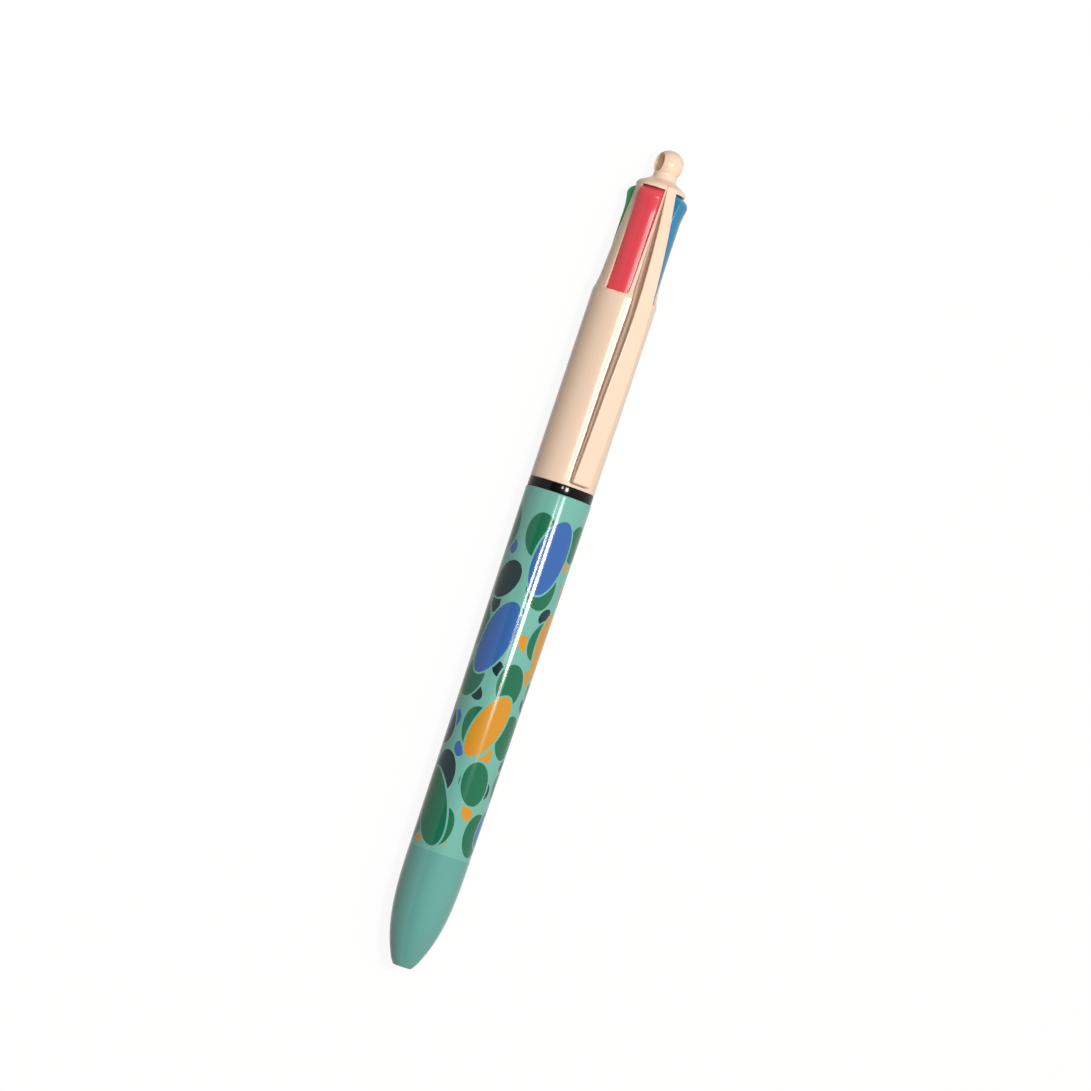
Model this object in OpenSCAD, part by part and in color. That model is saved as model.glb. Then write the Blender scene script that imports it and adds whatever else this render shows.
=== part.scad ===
// Four-colour click pen. Each sub-part is drawn upright on the pen's axis, with the nose end
// at height 0 and the clip on the +X side, and lay_down() turns it on its side, clip up.

/* [Refills] */
// Diameter of a refill tube
tube_d = 2.6; // [2.3:0.1:3]
// Wall of a refill tube
tube_wall = 0.35; // [0.2:0.05:0.5]
// Diameter of the metal point where it enters the tube
point_d = 2.1; // [1.8:0.1:2.4]
// Length of the metal point outside the tube
point_l = 10; // [8:0.5:12]
// Length of the cone at the front of the metal point
point_cone_l = 3.2; // [2.5:0.1:4]
// Diameter of the rim that holds the writing ball
point_rim_d = 1; // [0.9:0.05:1.2]
// Diameter of the writing ball
writing_ball_d = 0.8; // [0.5:0.1:0.8]
// Depth of the resting points behind the nose end
tip_depth = 6.5; // [6:0.5:8]
// How far a point stands out of the nose when its slider is down
tip_out = 2.5; // [2:0.25:3.5]
// Empty length of tube above the ink
air_l = 12; // [5:1:40]

/* [Springs] */
// Diameter of the spring wire
wire_d = 0.3; // [0.2:0.05:0.35]
// Room between a tube and the inside of its spring
spring_gap = 0.2; // [0.15:0.05:0.3]
// Length of a spring when its slider is down
spring_down_l = 6; // [5:0.5:9]
// Number of turns in a spring
spring_turns = 9; // [6:1:11]
// Thickness of the disc that the springs stand on
seat_t = 1.6; // [1:0.1:3]

/* [Lower barrel] */
// Length of the lower barrel
lower_l = 82.9; // [75:0.1:95]
// Wall of the lower barrel where the nose begins
nose_wall = 1.15; // [0.8:0.05:1.5]
// Length of the rounded nose
nose_l = 22.9; // [20:0.1:28]
// Exponent of the nose curve, larger is blunter
nose_power = 3.6; // [3:0.1:4]
// Wall of the flat rim at the nose end
nose_rim = 0.35; // [0.25:0.05:0.5]
// Bevel round the edge of that rim
nose_edge = 0.3; // [0.1:0.05:0.5]
// Wall of the lower barrel round its mouth
mouth_wall = 0.8; // [0.6:0.02:1.2]

/* [Trim ring] */
// Height of the trim ring
ring_h = 1.59; // [1.2:0.01:3]
// Wall of the trim ring
ring_wall = 0.68; // [0.5:0.02:0.9]

/* [Thread] */
// Length of the threaded neck inside the lower barrel
neck_l = 7.2; // [6.5:0.1:10]
// Pitch of the thread
thread_pitch = 1.25; // [1:0.05:1.5]
// Depth of the thread
thread_depth = 0.35; // [0.2:0.05:0.45]
// Wall of the neck under the thread
neck_wall = 0.43; // [0.35:0.02:0.7]

/* [Upper barrel] */
// Length of the plain part between the ring and the slots
sleeve_l = 33.5; // [30:0.5:45]
// Wall of the upper barrel
sleeve_wall = 0.87; // [0.7:0.05:1.3]
// Length of the slots
slot_l = 19.05; // [18:0.05:24]
// Corner radius at the lower end of a slot
slot_corner = 1; // [0.6:0.1:1.4]
// How far the shoulder under the ribs drops inwards
shoulder_drop = 0.4; // [0.2:0.02:0.5]
// Height of that shoulder
shoulder_h = 2.2; // [1.5:0.1:3]
// How far the ribs taper inwards up to the crown
rib_taper = 0.97; // [0.7:0.01:1.1]

/* [Crown] */
// Height of the dome
dome_h = 1.4; // [1.2:0.1:2]
// How far the dome's rim is set in from the ribs
dome_inset = 0.2; // [0.1:0.05:0.4]
// Diameter of the neck between dome and ball
ball_neck_d = 4.3; // [3.8:0.1:4.6]
// Height of that neck
ball_neck_h = 0.3; // [0.1:0.05:1]
// Diameter of the ball
ball_d = 5.1; // [4.8:0.1:6]
// Diameter of the lanyard hole through the ball
lanyard_d = 3; // [2:0.1:3.4]

/* [Clip] */
// Length of the clip below the crown's rim
clip_l = 51.3; // [46:0.1:52]
// Width of the clip at its root
clip_root_w = 2; // [1.8:0.05:2.2]
// Width of the clip at its end
clip_end_w = 3.3; // [2.8:0.1:4]
// Height of the clip's outer face over the barrel at its highest
clip_rise = 3.28; // [2.8:0.02:4]
// Height of the clip's outer face over the barrel at its end
clip_end_rise = 1.66; // [1.4:0.02:2.2]
// Thickness of the clip where it joins the crown
clip_t = 1.7; // [1.2:0.05:1.9]
// Gap that the free arm leaves over the barrel
clip_gap = 0.55; // [0.4:0.05:0.8]

/* [Sliders] */
// Width of a slider
slider_w = 4.4; // [4:0.05:4.5]
// Length of a slider below the lower end of its slot
slider_tail = 6.55; // [5:0.05:8]
// Height of the thumb ridge over the slider's face
ridge_h = 0.63; // [0.4:0.01:0.8]
// Length of the sweep up to the thumb ridge
ridge_l = 3.1; // [2:0.1:4]
// Height of the slider's sloping top above the ridge
top_slope_h = 1.75; // [1.2:0.05:2]
// Thickness of the collar that sits on the spring
collar_t = 1.4; // [1:0.1:2]
// Length of the stub that holds the refill tube
stub_l = 2.5; // [2:0.1:4]

/* [Guide core] */
// Thickness of the walls between the sliders
core_wall = 0.9; // [0.7:0.05:1.1]
// Diameter of the core between the sliders
core_d = 2.4; // [2.2:0.1:2.4]
// Depth of the core in the crown
core_plug = 1.2; // [0.8:0.1:1.5]

/* [Fits] */
// Gap round a piece that slides
slide_gap = 0.1; // [0.08:0.01:0.12]
// Gap round a piece that is held or turns
fit_gap = 0.05; // [0.03:0.01:0.08]
// Gap between faces that stop against each other
face_gap = 0.03; // [0.02:0.01:0.05]
// Gap between neighbouring springs
coil_gap = 0.22; // [0.15:0.01:0.4]
// Gap between a spring and the upper barrel
chamber_gap = 0.25; // [0.2:0.01:0.4]
// Gap between a refill tube and the bore round it
bore_gap = 0.12; // [0.1:0.01:0.2]
// Gap between the core's pin and a spring
pin_gap = 0.15; // [0.1:0.01:0.2]
// Gap between a point and the nose round it
point_gap = 0.2; // [0.16:0.01:0.25]
// Room a refill tube has to lean in the spring seat
lean_gap = 0.25; // [0.22:0.01:0.35]

/* [Hidden] */
$fn = 96;

// Directions of the four refills round the axis, from the clip
red_at = -45;
blue_at = 45;
black_at = 135;
green_at = -135;

// Radii, from the refills outwards
spring_d = tube_d + 2 * (spring_gap + wire_d);
refill_r = (spring_d + coil_gap) / sqrt(2);
chamber_r = refill_r + spring_d / 2 + chamber_gap;
upper_r = chamber_r + sleeve_wall;
bore_r = refill_r + tube_d / 2 + bore_gap;
core_pin_r = refill_r - spring_d / 2 - pin_gap;
neck_core_r = bore_r + neck_wall;
neck_r = neck_core_r + thread_depth;
mouth_bore_r = neck_r + fit_gap;
mouth_r = mouth_bore_r + mouth_wall;
ring_r = mouth_bore_r + ring_wall;
nose_r = bore_r + nose_wall;
hole_r = point_d / 2 + point_gap;
nose_end_r = hole_r + nose_rim;
nose_start_r = nose_end_r + nose_edge;
slider_r = chamber_r - 2 * slide_gap;
ridge_r = slider_r + ridge_h;
slot_half = slider_w / 2 + slide_gap;
rib_base_r = upper_r - shoulder_drop;
rib_top_r = rib_base_r - rib_taper;
dome_r = rib_top_r - dome_inset;

// Heights along the axis
travel = tip_depth + tip_out;
sleeve_z = lower_l + ring_h + 2 * face_gap;
slot_z = sleeve_z + sleeve_l;
crown_z = slot_z + slot_l;
dome_top_z = crown_z + dome_h;
ball_z = dome_top_z + ball_neck_h + ball_d / 2;
pen_l = ball_z + ball_d / 2;
collar_z = slot_z - slider_tail;
seat_z = collar_z - travel - spring_down_l;
neck_z = lower_l - neck_l;
tube_z = tip_depth + point_l;
tube_l = collar_z - fit_gap - tube_z;
point_plug_l = 0.3 * point_l;
core_walls_z = collar_z + 1.3 * collar_t;
clip_end_z = crown_z - clip_l;

module lay_down() {
    translate([pen_l / 2, 0, mouth_r]) rotate([0, -90, 0]) children();
}

module toward(angle) {
    lay_down() rotate(angle) children();
}

// A ring of rectangular section
module tube(outer_r, inner_r, height) {
    difference() {
        cylinder(r = outer_r, h = height);
        translate([0, 0, -height]) cylinder(r = inner_r, h = 3 * height);
    }
}

// Outside radius of the nose at a share of its length
function nose_outline(share) =
    nose_start_r + (nose_r - nose_start_r) * (1 - pow(1 - share, nose_power));

module lower_barrel() {
    nose_steps = 24;
    land_l = 2 * point_gap;
    mouth_step_l = 0.1 * neck_l;
    mouth_edge = 0.25 * mouth_wall;
    draft_r = neck_core_r + face_gap;
    curve_l = nose_l - nose_edge;
    outside = [for (i = [0:nose_steps])
        [nose_outline(i / nose_steps), nose_edge + curve_l * i / nose_steps]];
    color("#6dbba8") lay_down() rotate_extrude() polygon(concat(
        [[nose_end_r, 0]], outside,
        [
            [mouth_r, lower_l - mouth_edge], [mouth_r - mouth_edge, lower_l], [mouth_bore_r, lower_l],
            [mouth_bore_r, neck_z - mouth_step_l / 2], [draft_r, neck_z - 1.5 * mouth_step_l],
            [bore_r, tube_z - bore_r / 3],
            [refill_r + point_d / 2 + point_gap, tip_depth + point_cone_l],
            [refill_r + point_rim_d / 2 + point_gap, tip_depth],
            [hole_r, land_l], [hole_r, 0]
        ]
    ));
}

module trim_ring() {
    edge = 0.22 * ring_wall;
    color("#141414") lay_down() translate([0, 0, lower_l + face_gap]) rotate_extrude() polygon([
        [mouth_bore_r, 0], [ring_r - edge, 0], [ring_r, edge],
        [ring_r, ring_h - edge], [ring_r - edge, ring_h], [mouth_bore_r, ring_h]
    ]);
}

// The opening that one slider runs in, with rounded lower corners
module slot() {
    reach = 2 * upper_r;
    rest = slot_half - slot_corner;
    translate([0, -slot_half, slot_z + slot_corner]) cube([reach, 2 * slot_half, slot_l]);
    translate([0, -rest, slot_z]) cube([reach, 2 * rest, slot_l]);
    for (side = [-1, 1])
        translate([0, side * rest, slot_z + slot_corner])
            rotate([0, 90, 0]) cylinder(r = slot_corner, h = reach);
}

// A shallow dish in the wall under a slot
module thumb_scoop() {
    scoop_r = 0.6 * slider_w;
    out = 0.65 * scoop_r;
    translate([upper_r + out, 0, slot_z + 0.4 * scoop_r]) sphere(r = scoop_r);
}

module upper_barrel() {
    foot = 0.17 * sleeve_wall;
    lead_in = 0.4 * thread_pitch;
    ridges = floor((neck_l - 2 * lead_in) / thread_pitch);
    shoulder_z = slot_z - 0.25 * shoulder_h;
    color("#f3d0b8") lay_down() difference() {
        union() {
            translate([0, 0, neck_z]) cylinder(r = neck_core_r, h = neck_l);
            for (i = [0:ridges - 1])
                translate([0, 0, neck_z + lead_in + i * thread_pitch]) rotate_extrude() polygon([
                    [bore_r, 0], [neck_core_r, 0], [neck_r, thread_pitch * 0.3],
                    [neck_r, thread_pitch * 0.4], [neck_core_r, thread_pitch * 0.7],
                    [bore_r, thread_pitch * 0.7]
                ]);
            translate([0, 0, lower_l - lead_in]) cylinder(r = neck_r, h = sleeve_z - lower_l + 2 * lead_in);
            rotate_extrude() polygon([
                [0, sleeve_z], [upper_r - foot, sleeve_z], [upper_r, sleeve_z + foot],
                [upper_r, shoulder_z], [upper_r - shoulder_drop * 0.35, shoulder_z + shoulder_h * 0.5],
                [rib_base_r, shoulder_z + shoulder_h], [rib_top_r, crown_z], [0, crown_z]
            ]);
        }
        translate([0, 0, neck_z - neck_l]) cylinder(r = bore_r, h = seat_z - neck_z + neck_l);
        translate([0, 0, seat_z - seat_t])
            cylinder(r = chamber_r, h = slot_z + slot_corner + slide_gap - seat_z + seat_t);
        for (angle = [red_at, blue_at, black_at, green_at]) rotate(angle) {
            slot();
            thumb_scoop();
        }
    }
}

module crown() {
    arc_steps = 12;
    root_half = clip_root_w / 2 + fit_gap;
    dome = [for (i = [0:arc_steps])
        [ball_neck_d / 2 + (dome_r - ball_neck_d / 2) * cos(90 * i / arc_steps),
         crown_z + dome_h * sin(90 * i / arc_steps)]];
    color("#f3d0b8") lay_down() difference() {
        union() {
            rotate_extrude() polygon(concat([[0, crown_z]], dome, [[0, dome_top_z]]));
            translate([0, 0, dome_top_z - dome_h / 2])
                cylinder(d = ball_neck_d, h = dome_h / 2 + ball_neck_h + ball_d / 4);
            translate([0, 0, ball_z]) sphere(d = ball_d);
        }
        translate([0, -ball_d, ball_z]) rotate([-90, 0, 0]) cylinder(d = lanyard_d, h = 2 * ball_d);
        translate([0, 0, crown_z - dome_h])
            cylinder(r = core_d / 2 + fit_gap, h = dome_h + core_plug + fit_gap);
        translate([clip_root_u() - fit_gap, -root_half, crown_z - dome_h])
            cube([dome_r, 2 * root_half, dome_h + clip_root_h() + fit_gap]);
    }
}

// Height of the clip's root above the crown's rim, and its inner face's distance from the axis
function clip_root_h() = dome_h * 0.72;
function clip_root_u() = dome_r * 0.63;
// Radius of the ribs at height z
function rib_r(z) = rib_base_r
    - rib_taper * (z - slot_z - 0.75 * shoulder_h) / (slot_l - 0.75 * shoulder_h);

// Side view of the clip as [distance from the axis, height]
module clip_side() {
    high_r = upper_r + clip_rise;
    end_r = upper_r + clip_end_rise;
    root_r = rib_top_r + 0.1 * clip_t;
    root_top = crown_z + clip_root_h();
    high_z = slot_z - 0.13 * clip_l;
    gusset_z = slot_z + 0.3 * slot_l;
    gusset_end_z = slot_z - 0.07 * clip_l;
    foot_l = 0.065 * clip_l;
    foot_r = upper_r + face_gap;
    under_r = upper_r + clip_gap;
    arch_steps = 12;
    // Outer face from the root to the highest point, then down to the end
    rise = [for (i = [arch_steps:-1:0])
        [high_r - (high_r - root_r) * pow(i / arch_steps, 1.9),
         high_z + (crown_z - high_z) * i / arch_steps]];
    fall = [for (i = [1:arch_steps])
        [high_r - (high_r - end_r) * pow(i / arch_steps, 1.35),
         high_z - (high_z - clip_end_z) * i / arch_steps]];
    polygon(concat(
        [[clip_root_u(), root_top], [dome_r * 0.88, root_top]],
        rise, fall,
        [
            [end_r - 0.65 * clip_t, clip_end_z], [foot_r, clip_end_z + 0.6 * foot_l],
            [foot_r, clip_end_z + foot_l], [under_r, clip_end_z + 1.6 * foot_l],
            [under_r, gusset_end_z], [upper_r + 0.18 * clip_t, slot_z],
            [rib_r(gusset_z), gusset_z], [rib_r(crown_z), crown_z], [clip_root_u(), crown_z]
        ]
    ));
}

module clip() {
    root_half = clip_root_w / 2;
    end_half = clip_end_w / 2;
    wide_z = slot_z - 0.31 * clip_l;
    narrow_z = slot_z + 0.58 * slot_l;
    color("#f3d0b8") lay_down() intersection() {
        rotate([90, 0, 0]) translate([0, 0, -clip_end_w]) linear_extrude(2 * clip_end_w) clip_side();
        rotate([90, 0, 90]) linear_extrude(upper_r + clip_rise + clip_t) polygon([
            [-root_half, crown_z + dome_h], [-root_half, narrow_z],
            [-end_half, wide_z], [-end_half, clip_end_z], [end_half, clip_end_z],
            [end_half, wide_z], [root_half, narrow_z], [root_half, crown_z + dome_h]
        ]);
    }
}

module guide_core() {
    wall_reach = slot_half * sqrt(2) - slide_gap;
    color("#e9e4da") lay_down() {
        translate([0, 0, seat_z - seat_t]) cylinder(r = core_pin_r, h = core_walls_z - seat_z + seat_t);
        translate([0, 0, core_walls_z])
            cylinder(d = core_d, h = crown_z - core_walls_z + core_plug);
        for (angle = [0:90:270]) rotate(angle)
            translate([0, -core_wall / 2, core_walls_z])
                cube([wall_reach, core_wall, crown_z - core_walls_z]);
    }
}

module spring_seat() {
    color("#e9e4da") lay_down() translate([0, 0, seat_z - seat_t]) difference() {
        tube(chamber_r - fit_gap, core_pin_r + face_gap, seat_t);
        for (angle = [red_at, blue_at, black_at, green_at]) rotate(angle)
            translate([refill_r, 0, -seat_t]) cylinder(r = tube_d / 2 + lean_gap, h = 3 * seat_t);
    }
}

// Section of a slider between the walls of the guide core
module slider_section() {
    inner_u = core_d / 2 + 1.5 * slide_gap;
    wall_clear = (core_wall / 2 + slide_gap) * sqrt(2);
    half = slider_w / 2;
    polygon([
        [inner_u, wall_clear - inner_u], [half + wall_clear, -half], [2 * ridge_r, -half],
        [2 * ridge_r, half], [half + wall_clear, half], [inner_u, inner_u - wall_clear]
    ]);
}

module slider(angle, shade) {
    sweep_steps = 8;
    top_z = crown_z - slide_gap;
    ridge_z = top_z - top_slope_h;
    ridge_edge = 0.17 * ridge_h;
    top_r = 0.58 * slider_r;
    bottom_z = collar_z + collar_t / 2;
    sweep = [for (i = [0:sweep_steps])
        [slider_r + ridge_h * pow(i / sweep_steps, 1.4), ridge_z - ridge_l * (1 - i / sweep_steps)]];
    color(shade) toward(angle) {
        intersection() {
            translate([0, 0, bottom_z]) linear_extrude(top_z - bottom_z) slider_section();
            rotate_extrude() polygon(concat(
                [[0, bottom_z], [slider_r, bottom_z]], sweep,
                [[ridge_r - ridge_edge, ridge_z + ridge_edge], [top_r, top_z], [0, top_z]]
            ));
        }
        translate([refill_r, 0, collar_z]) cylinder(d = spring_d, h = collar_t);
        translate([refill_r, 0, collar_z - stub_l])
            cylinder(r = tube_d / 2 - tube_wall - slide_gap, h = stub_l + collar_t / 2);
    }
}

// Height of the wire's centre after a share of the turns, with one closed turn at each end
function coil_height(turn) =
    let (closed = wire_d * 1.05, open = (travel + spring_down_l - wire_d - 2 * closed) / (spring_turns - 2))
    wire_d / 2 + closed * min(turn, 1) + open * min(max(turn - 1, 0), spring_turns - 2)
    + closed * max(turn - spring_turns + 1, 0);

module spring(angle) {
    wire_sides = 6;
    per_turn = 12;
    rings = spring_turns * per_turn;
    coil_r = (spring_d - wire_d) / 2;
    points = [for (i = [0:rings]) for (j = [0:wire_sides - 1])
        let (a = 360 * i / per_turn, b = 360 * j / wire_sides,
             r = coil_r + wire_d / 2 * cos(b))
        [r * cos(a), r * sin(a), coil_height(i / per_turn) + wire_d / 2 * sin(b)]];
    sides = [for (i = [0:rings - 1]) for (j = [0:wire_sides - 1])
        let (k = (j + 1) % wire_sides)
        [i * wire_sides + j, (i + 1) * wire_sides + j, (i + 1) * wire_sides + k, i * wire_sides + k]];
    ends = [[for (j = [0:wire_sides - 1]) j],
            [for (j = [wire_sides - 1:-1:0]) rings * wire_sides + j]];
    color("#c8cbd0") toward(angle) translate([refill_r, 0, seat_z])
        polyhedron(points, concat(sides, ends), convexity = 10);
}

module refill_tube(angle, shade) {
    color(shade) toward(angle) translate([refill_r, 0, tube_z])
        tube(tube_d / 2, tube_d / 2 - tube_wall, tube_l);
}

module ink(angle, shade) {
    ink_z = tube_z + point_plug_l;
    color(shade) toward(angle) translate([refill_r, 0, ink_z])
        cylinder(r = tube_d / 2 - tube_wall, h = collar_z - stub_l - air_l - ink_z);
}

module point(angle) {
    rim_z = 0.375 * writing_ball_d;
    feed_r = 0.3 * writing_ball_d;
    plug_r = tube_d / 2 - tube_wall;
    color("#c9b27a") toward(angle) translate([refill_r, 0, tip_depth]) difference() {
        rotate_extrude() polygon([
            [0, rim_z], [point_rim_d / 2, rim_z], [point_d / 2, point_cone_l],
            [point_d / 2, point_l], [plug_r, point_l], [plug_r, point_l + point_plug_l],
            [0, point_l + point_plug_l]
        ]);
        translate([0, 0, writing_ball_d / 2]) sphere(d = writing_ball_d + face_gap);
        cylinder(r = feed_r, h = 2 * point_l);
    }
}

module point_ball(angle) {
    color("#8f9296") toward(angle) translate([refill_r, 0, tip_depth + writing_ball_d / 2])
        sphere(d = writing_ball_d);
}

lower_barrel();
trim_ring();
upper_barrel();
crown();
clip();
guide_core();
spring_seat();
slider(red_at, "#dc4858");  // red_slider
slider(blue_at, "#2f8abf");  // blue_slider
slider(black_at, "#26282b");  // black_slider
slider(green_at, "#2f9e63");  // green_slider
spring(red_at);  // red_spring
spring(blue_at);  // blue_spring
spring(black_at);  // black_spring
spring(green_at);  // green_spring
refill_tube(red_at, "#f2f2ee");  // red_refill_tube
refill_tube(blue_at, "#f2f2ee");  // blue_refill_tube
refill_tube(black_at, "#f2f2ee");  // black_refill_tube
refill_tube(green_at, "#f2f2ee");  // green_refill_tube
ink(red_at, "#b81f2e");  // red_ink
ink(blue_at, "#1c3f94");  // blue_ink
ink(black_at, "#101114");  // black_ink
ink(green_at, "#14663c");  // green_ink
point(red_at);  // red_point
point(blue_at);  // blue_point
point(black_at);  // black_point
point(green_at);  // green_point
point_ball(red_at);  // red_point_ball
point_ball(blue_at);  // blue_point_ball
point_ball(black_at);  // black_point_ball
point_ball(green_at);  // green_point_ball
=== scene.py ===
import math
import bmesh
import bpy
from mathutils import Matrix, Vector


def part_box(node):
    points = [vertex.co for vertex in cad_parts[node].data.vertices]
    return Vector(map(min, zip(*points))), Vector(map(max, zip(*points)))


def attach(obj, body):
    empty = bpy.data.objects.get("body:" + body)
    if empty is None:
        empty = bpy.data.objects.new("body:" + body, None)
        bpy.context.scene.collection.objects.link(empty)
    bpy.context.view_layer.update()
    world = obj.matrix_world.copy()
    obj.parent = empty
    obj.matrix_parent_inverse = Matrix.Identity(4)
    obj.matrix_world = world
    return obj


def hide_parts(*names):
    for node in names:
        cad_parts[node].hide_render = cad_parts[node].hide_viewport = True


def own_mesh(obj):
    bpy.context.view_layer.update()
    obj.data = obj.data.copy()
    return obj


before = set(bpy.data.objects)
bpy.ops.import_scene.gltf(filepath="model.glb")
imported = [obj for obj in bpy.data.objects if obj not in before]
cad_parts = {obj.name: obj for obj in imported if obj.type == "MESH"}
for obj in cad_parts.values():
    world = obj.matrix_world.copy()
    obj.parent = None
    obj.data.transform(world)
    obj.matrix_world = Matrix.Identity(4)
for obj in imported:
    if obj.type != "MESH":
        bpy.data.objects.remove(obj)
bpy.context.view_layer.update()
mm = 0.001

# Every piece is modelled upright in millimetres, point end at 0 and clip towards +X, then laid down
barrelLow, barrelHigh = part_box("lower_barrel")
noseEnd = barrelHigh.x
axisHeight = (barrelLow.z + barrelHigh.z) / 2
layDown = Matrix((
    (0, 0, -mm, noseEnd),
    (0, mm, 0, 0),
    (mm, 0, 0, axisHeight),
    (0, 0, 0, 1),
))
toBall = Vector((-1, 0, 0))


def heightOf(x):
    return (noseEnd - x) / mm


def radiusOf(z):
    return (z - axisHeight) / mm


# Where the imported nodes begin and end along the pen, and how thick they are
mouthHeight, mouthRadius = heightOf(barrelLow.x), radiusOf(barrelHigh.z)
ringLow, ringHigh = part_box("trim_ring")
ringBottom, ringTop, ringRadius = heightOf(ringHigh.x), heightOf(ringLow.x), radiusOf(ringHigh.z)
upperLow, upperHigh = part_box("upper_barrel")
neckHeight, crownHeight, upperRadius = heightOf(upperHigh.x), heightOf(upperLow.x), radiusOf(upperHigh.z)
penHeight = heightOf(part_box("crown")[0].x)
penMiddle = Vector((noseEnd - penHeight * mm / 2, 0, axisHeight))
springLow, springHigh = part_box("red_spring")
springBottom, springTop = heightOf(springHigh.x), heightOf(springLow.x)
springDiameter = (springHigh.z - springLow.z) / mm
refillOut = math.sqrt(2) * radiusOf((springHigh.z + springLow.z) / 2)
sliderTop = heightOf(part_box("red_slider")[0].x)
pointHeight = heightOf(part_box("red_point")[1].x)
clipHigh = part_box("clip")[1]
clipReach = radiusOf(clipHigh.z)

colours = {
    "red": {"turn": -45, "plastic": "#e84c57", "ink": "#a8182a"},
    "blue": {"turn": 45, "plastic": "#2d86b2", "ink": "#17368a"},
    "black": {"turn": 135, "plastic": "#26282b", "ink": "#0d0e12"},
    "green": {"turn": -135, "plastic": "#2f9e63", "ink": "#125c37"},
}
print("frame loaded, pen", round(penHeight, 2), "mm long")

view = {
    "elevation": 65, "toNose": 2.5, "lean": 18.44,  # degrees
    "away": 800, "across": 182.57, "aimRight": 1.215, "aimUp": 1.982,  # mm
    "sensor": 36, "nearest": 0.01,
}


def makeCamera():
    up, tilt = math.radians(view["elevation"]), math.radians(view["toNose"])
    back = Vector((math.sin(tilt), -math.cos(up) * math.cos(tilt), math.sin(up) * math.cos(tilt)))
    along = (toBall - back * back.dot(toBall)).normalized()
    side = along.cross(back)
    lean = math.radians(view["lean"])
    imageUp = along * math.cos(lean) - side * math.sin(lean)
    imageRight = along * math.sin(lean) + side * math.cos(lean)
    aim = penMiddle + imageRight * view["aimRight"] * mm + imageUp * view["aimUp"] * mm
    data = bpy.data.cameras.new("studioCamera")
    data.sensor_width = view["sensor"]
    data.lens = view["sensor"] * view["away"] / view["across"]
    data.clip_start = view["nearest"]
    camera = bpy.data.objects.new("studioCamera", data)
    turn = Matrix((imageRight, imageUp, back)).transposed().to_4x4()
    camera.matrix_world = Matrix.Translation(aim + back * view["away"] * mm) @ turn
    bpy.context.scene.collection.objects.link(camera)
    bpy.context.scene.camera = camera
    return back


toCamera = makeCamera()
print("camera placed")


def linear(hexColour):
    parts = [int(hexColour[i:i + 2], 16) / 255 for i in (1, 3, 5)]
    parts = [p / 12.92 if p <= 0.04045 else ((p + 0.055) / 1.055) ** 2.4 for p in parts]
    return (*parts, 1)


def add(tree, kind, links=None, **settings):
    node = tree.nodes.new(kind)
    for key, value in settings.items():
        setattr(node, key, value)
    for key, value in (links or {}).items():
        if isinstance(value, bpy.types.NodeSocket):
            tree.links.new(value, node.inputs[key])
        else:
            node.inputs[key].default_value = value
    return node


def newMaterial(name):
    material = bpy.data.materials.new(name)
    material.use_nodes = True
    material.node_tree.nodes.clear()
    return material, material.node_tree


# Injection-moulded polystyrene: even colour, polished mould, a faint ripple in the gloss
plastic = {
    "ripple": 1.6,  # mm between the swells that the mould leaves
    "rippleDepth": 0.004,
    "grain": 0.25,  # mm, drawn coarser than the real 0.05 so that it shows
    "grainDepth": 0.0008,
    "bump": 0.5,
    "flow": 9.0,  # mm between slightly paler and deeper streaks
    "tones": (0.965, 1.03),
    "wear": (0.85, 1.2),  # how far the roughness strays
    "ior": 1.5,
    "specular": 0.35,
}


def plasticFinish(tree, colour, roughness, specular):
    p = plastic
    coords = add(tree, "ShaderNodeTexCoord").outputs["Object"]
    flow = add(tree, "ShaderNodeTexNoise", {"Vector": coords, "Scale": 1 / (p["flow"] * mm), "Detail": 2.0})
    shade = add(tree, "ShaderNodeMapRange", {
        "Value": flow.outputs["Fac"], "To Min": p["tones"][0], "To Max": p["tones"][1],
    })
    tone = add(tree, "ShaderNodeHueSaturation", {"Value": shade.outputs["Result"], "Color": colour})
    ripple = add(tree, "ShaderNodeTexNoise", {"Vector": coords, "Scale": 1 / (p["ripple"] * mm), "Detail": 1.0})
    grain = add(tree, "ShaderNodeTexNoise", {"Vector": coords, "Scale": 1 / (p["grain"] * mm), "Detail": 3.0})
    swell = add(tree, "ShaderNodeBump", {
        "Height": ripple.outputs["Fac"], "Strength": p["bump"], "Distance": p["rippleDepth"] * mm,
    })
    fine = add(tree, "ShaderNodeBump", {
        "Height": grain.outputs["Fac"], "Strength": p["bump"], "Distance": p["grainDepth"] * mm,
        "Normal": swell.outputs["Normal"],
    })
    rough = add(tree, "ShaderNodeMapRange", {
        "Value": grain.outputs["Fac"], "To Min": roughness * p["wear"][0], "To Max": roughness * p["wear"][1],
    })
    surface = add(tree, "ShaderNodeBsdfPrincipled", {
        "Base Color": tone.outputs["Color"], "Roughness": rough.outputs["Result"],
        "Normal": fine.outputs["Normal"], "IOR": p["ior"], "Specular IOR Level": specular,
    })
    add(tree, "ShaderNodeOutputMaterial", {"Surface": surface.outputs["BSDF"]})


def mouldedPlastic(name, colour, roughness=0.22, specular=plastic["specular"]):
    material, tree = newMaterial(name)
    plasticFinish(tree, linear(colour), roughness, specular)
    return material


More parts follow.
